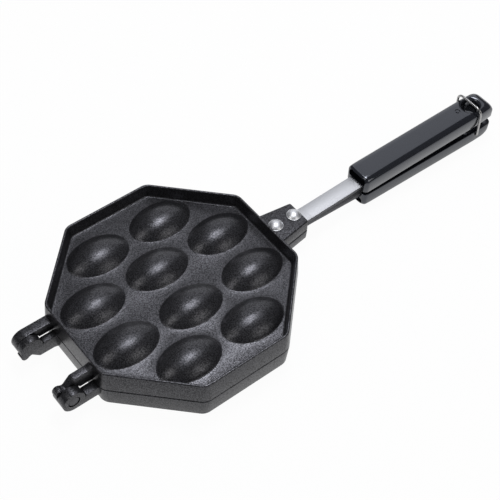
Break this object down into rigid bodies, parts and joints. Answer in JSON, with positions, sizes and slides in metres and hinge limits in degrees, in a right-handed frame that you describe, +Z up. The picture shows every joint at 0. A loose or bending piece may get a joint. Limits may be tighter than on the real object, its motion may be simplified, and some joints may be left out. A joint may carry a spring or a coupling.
{
  "type": "takoyaki pan",
  "caption": "Closed double-sided cast cake iron: octagonal hinged plates with oval cups, steel straps, black grips and a wire bail over the grip ends.",
  "frame": {"origin": "bottom centre of the bounding box, level with the lower plate's rim, on which the pan stands", "axes": "+X along the handle, from the hinge to the grips; +Z up; +Y to the far side"},
  "size_m": [0.3974, 0.16, 0.0368],
  "materials": {
    "coated_casting": "cast aluminium under a matte speckled non-stick coating",
    "strap_steel": "brushed along its length",
    "pin_steel": "dark turned steel",
    "rivet_aluminium": "pressed, satin",
    "grip_phenolic": "glossy moulded phenolic",
    "screw_steel": "dark plated",
    "insert_brass": "plain brass",
    "bail_wire": "drawn bright wire"
  },
  "bodies": {
    "lower_half": {"lower_plate": "coated_casting", "hinge_pin_far": "pin_steel", "lower_strap": "strap_steel", "lower_rivet_1": "rivet_aluminium", "lower_rivet_2": "rivet_aluminium", "lower_grip": "grip_phenolic", "lower_grip_screw_1": "screw_steel", "lower_grip_insert_1": "insert_brass", "lower_grip_screw_2": "screw_steel", "lower_grip_insert_2": "insert_brass"},
    "upper_half": {"upper_plate": "coated_casting", "hinge_pin_near": "pin_steel", "upper_strap": "strap_steel", "upper_rivet_1": "rivet_aluminium", "upper_rivet_2": "rivet_aluminium", "upper_grip": "grip_phenolic", "upper_grip_screw_1": "screw_steel", "upper_grip_insert_1": "insert_brass", "upper_grip_screw_2": "screw_steel", "upper_grip_insert_2": "insert_brass"},
    "locking_bail": {"locking_bail": "bail_wire"}
  },
  "joints": [
    {"name": "pan_hinge", "type": "hinge", "parent": "lower_half", "child": "upper_half", "pos_m": [-0.19008, 0, 0.0162], "axis": [0, -1, 0], "range_deg": [0, 180]},
    {"name": "bail_pivot", "type": "hinge", "parent": "lower_half", "child": "locking_bail", "pos_m": [0.1817, 0, 0.0099], "axis": [0, 1, 0], "range_deg": [-18, 240]}
  ]
}
